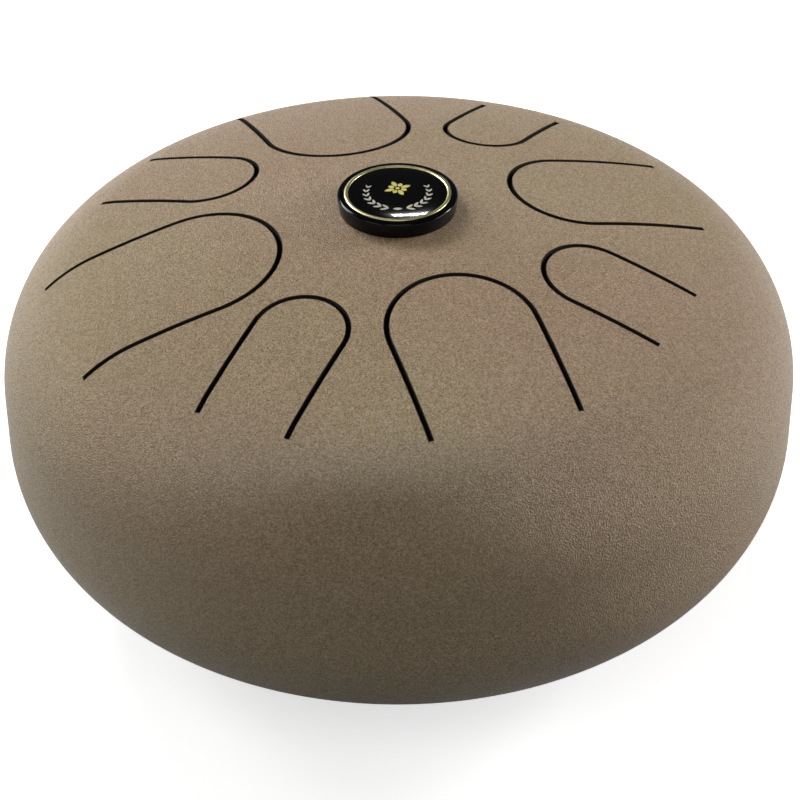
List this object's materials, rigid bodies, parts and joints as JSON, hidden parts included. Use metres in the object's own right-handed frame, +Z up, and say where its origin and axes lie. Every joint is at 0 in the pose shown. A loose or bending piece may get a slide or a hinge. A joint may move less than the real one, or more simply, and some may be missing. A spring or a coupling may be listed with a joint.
{
  "type": "steel tongue drum",
  "caption": "Lens-shaped steel tongue drum: domed shells welded at the waist, round-tipped tongues slotted round the crown, sound port below, rubber feet, round central badge.",
  "frame": {"origin": "on the drum's axis at the height of the floor that its feet stand on", "axes": "+Z up along the drum's axis; -Y is the front, towards the player; +X is to the player's right"},
  "size_m": [0.3, 0.3, 0.1716],
  "materials": {
    "bronze_coating": "matte bronze-brown powder coating with a fine speckle",
    "magnet_plating": "nickel plating",
    "foot_rubber": "matte black rubber",
    "badge_foam": "black closed-cell foam tape",
    "badge_black": "gloss black",
    "badge_print": "black printed disc",
    "badge_gold": "polished gold tone",
    "badge_resin": "clear cast resin"
  },
  "bodies": {
    "drum": {"upper_shell": "bronze_coating", "waist_weld": "bronze_coating", "lower_shell": "bronze_coating", "foot_1": "foot_rubber", "foot_2": "foot_rubber", "foot_3": "foot_rubber", "foot_4": "foot_rubber", "badge_pad": "badge_foam", "badge_housing": "badge_black", "badge_face": "badge_print", "badge_ring": "badge_gold", "badge_lens": "badge_resin"},
    "tongue_body_1": {"tongue_1": "bronze_coating", "tuning_magnet_1": "magnet_plating"},
    "tongue_body_2": {"tongue_2": "bronze_coating", "tuning_magnet_2": "magnet_plating"},
    "tongue_body_3": {"tongue_3": "bronze_coating", "tuning_magnet_3": "magnet_plating"},
    "tongue_body_4": {"tongue_4": "bronze_coating", "tuning_magnet_4": "magnet_plating"},
    "tongue_body_5": {"tongue_5": "bronze_coating", "tuning_magnet_5": "magnet_plating"},
    "tongue_body_6": {"tongue_6": "bronze_coating", "tuning_magnet_6": "magnet_plating"},
    "tongue_body_7": {"tongue_7": "bronze_coating", "tuning_magnet_7": "magnet_plating"},
    "tongue_body_8": {"tongue_8": "bronze_coating", "tuning_magnet_8": "magnet_plating"}
  },
  "joints": [
    {"name": "tongue_1_flex", "type": "hinge", "parent": "drum", "child": "tongue_body_1", "pos_m": [0.03668, -0.11027, 0.14495], "axis": [0.9489, 0.3156, 0], "range_deg": [-0.3, 0.3], "stiffness_Nm_per_rad": 6.8, "springref_deg": 0.12},
    {"name": "tongue_2_flex", "type": "hinge", "parent": "drum", "child": "tongue_body_2", "pos_m": [-0.05387, -0.10757, 0.14313], "axis": [0.8942, -0.4478, 0], "range_deg": [-0.3, 0.3], "stiffness_Nm_per_rad": 2.9, "springref_deg": 0.14},
    {"name": "tongue_3_flex", "type": "hinge", "parent": "drum", "child": "tongue_body_3", "pos_m": [-0.12135, -0.04037, 0.1385], "axis": [0.3156, -0.9489, 0], "range_deg": [-0.3, 0.3], "stiffness_Nm_per_rad": 12, "springref_deg": 0.1},
    {"name": "tongue_4_flex", "type": "hinge", "parent": "drum", "child": "tongue_body_4", "pos_m": [-0.10525, 0.05271, 0.14433], "axis": [-0.4478, -0.8942, 0], "range_deg": [-0.3, 0.3], "stiffness_Nm_per_rad": 2.4, "springref_deg": 0.15},
    {"name": "tongue_5_flex", "type": "hinge", "parent": "drum", "child": "tongue_body_5", "pos_m": [-0.03772, 0.11339, 0.14351], "axis": [-0.9489, -0.3156, 0], "range_deg": [-0.3, 0.3], "stiffness_Nm_per_rad": 7.7, "springref_deg": 0.11},
    {"name": "tongue_6_flex", "type": "hinge", "parent": "drum", "child": "tongue_body_6", "pos_m": [0.04956, 0.09897, 0.14684], "axis": [-0.8942, 0.4478, 0], "range_deg": [-0.3, 0.3], "stiffness_Nm_per_rad": 1.4, "springref_deg": 0.17},
    {"name": "tongue_7_flex", "type": "hinge", "parent": "drum", "child": "tongue_body_7", "pos_m": [0.10732, 0.0357, 0.14606], "axis": [-0.3156, 0.9489, 0], "range_deg": [-0.3, 0.3], "stiffness_Nm_per_rad": 5.3, "springref_deg": 0.12},
    {"name": "tongue_8_flex", "type": "hinge", "parent": "drum", "child": "tongue_body_8", "pos_m": [0.09987, -0.05001, 0.14652], "axis": [0.4478, 0.8942, 0], "range_deg": [-0.3, 0.3], "stiffness_Nm_per_rad": 1.8, "springref_deg": 0.16}
  ]
}
